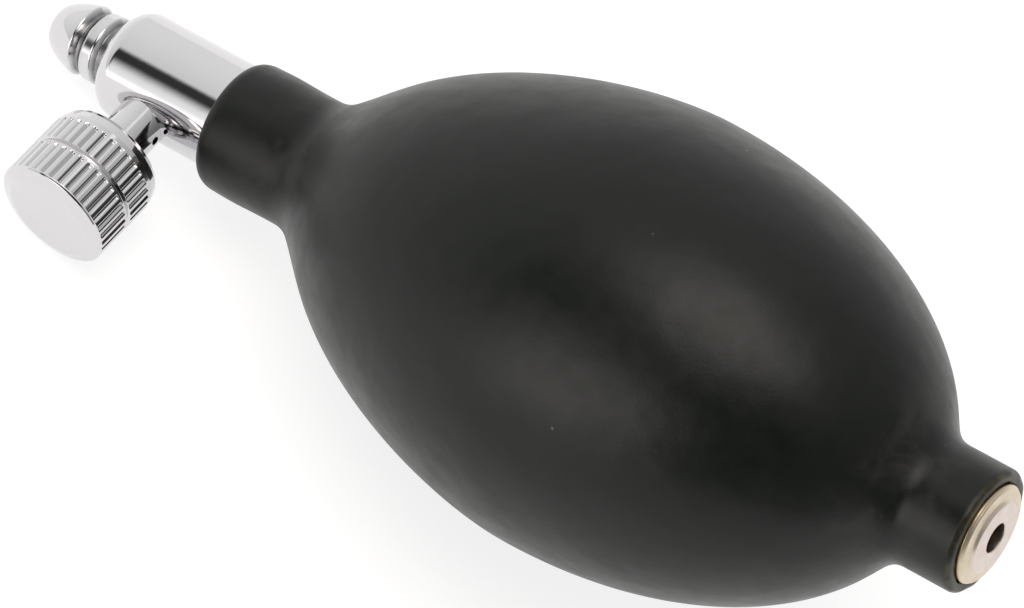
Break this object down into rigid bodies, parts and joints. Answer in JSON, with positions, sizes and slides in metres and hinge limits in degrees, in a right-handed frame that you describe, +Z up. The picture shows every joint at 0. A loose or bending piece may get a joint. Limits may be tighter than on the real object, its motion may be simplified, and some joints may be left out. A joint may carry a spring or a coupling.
{
  "type": "hand bulb air blower",
  "caption": "Rubber squeeze bulb that blows air out of a hose barb, with a check valve in each neck and a knurled screw that lets the air off.",
  "frame": {"origin": "on the table, under the middle of the object's bounding box, as it lies on its belly, barb tip and knob rim", "axes": "+Z up; +X along the bulb in plan, towards the intake valve; the release knob points to -Y"},
  "size_m": [0.1194, 0.05, 0.0529],
  "materials": {
    "rubber": "matt moulded black rubber",
    "chrome": "bright chrome plate on turned brass",
    "nickel_brass": "warm satin nickel plate on turned brass",
    "brass": "turned brass",
    "bearing_steel": "polished steel",
    "wire_mesh": "pierced steel disc",
    "seal_rubber": "black nitrile",
    "seat_rubber": "brown moulded seat rubber",
    "fibre": "red vulcanised fibre"
  },
  "bodies": {
    "bulb_and_valve": {"bulb": "rubber", "valve_body": "chrome", "outlet_plug": "brass", "outlet_plug_seal": "seal_rubber", "outlet_filter": "wire_mesh", "outlet_seat": "seat_rubber", "outlet_spring": "bearing_steel", "hose_barb": "chrome", "barb_gasket": "fibre", "bonnet": "chrome", "bonnet_gasket": "fibre", "intake_body": "nickel_brass", "intake_filter": "wire_mesh", "intake_seat": "seat_rubber", "intake_cage": "brass"},
    "press_wall": {"press_wall": "rubber"},
    "seal_carriage": {"release_needle": "brass", "spindle_o_ring": "seal_rubber"},
    "release_screw": {"spindle": "chrome", "release_knob": "chrome"},
    "outlet_ball": {"outlet_ball": "bearing_steel"},
    "intake_ball": {"intake_ball": "bearing_steel"}
  },
  "joints": [
    {"name": "press_slide", "type": "slide", "parent": "bulb_and_valve", "child": "press_wall", "axis": [0.3073, 0.0421, -0.9507], "range_m": [0, 0.008], "stiffness_N_per_m": 1500},
    {"name": "screw_slide", "type": "slide", "parent": "bulb_and_valve", "child": "seal_carriage", "axis": [0.0129, -0.9991, -0.04], "range_m": [0, 0.00105]},
    {"name": "knob_turn", "type": "hinge", "parent": "seal_carriage", "child": "release_screw", "pos_m": [-0.04398, 0.00045, 0.00759], "axis": [0.0129, -0.9991, -0.04], "range_deg": [0, 540]},
    {"name": "outlet_ball_slide", "type": "slide", "parent": "bulb_and_valve", "child": "outlet_ball", "axis": [-0.9515, 0, -0.3076], "range_m": [0, 0.0005], "stiffness_N_per_m": 80, "deforming": ["outlet_spring"]},
    {"name": "intake_ball_slide", "type": "slide", "parent": "bulb_and_valve", "child": "intake_ball", "axis": [-0.9515, 0, -0.3076], "range_m": [0, 0.0008]}
  ],
  "couplings": [
    {"joint": "screw_slide", "follows": "knob_turn", "m_per_rad": 0.00011141}
  ]
}
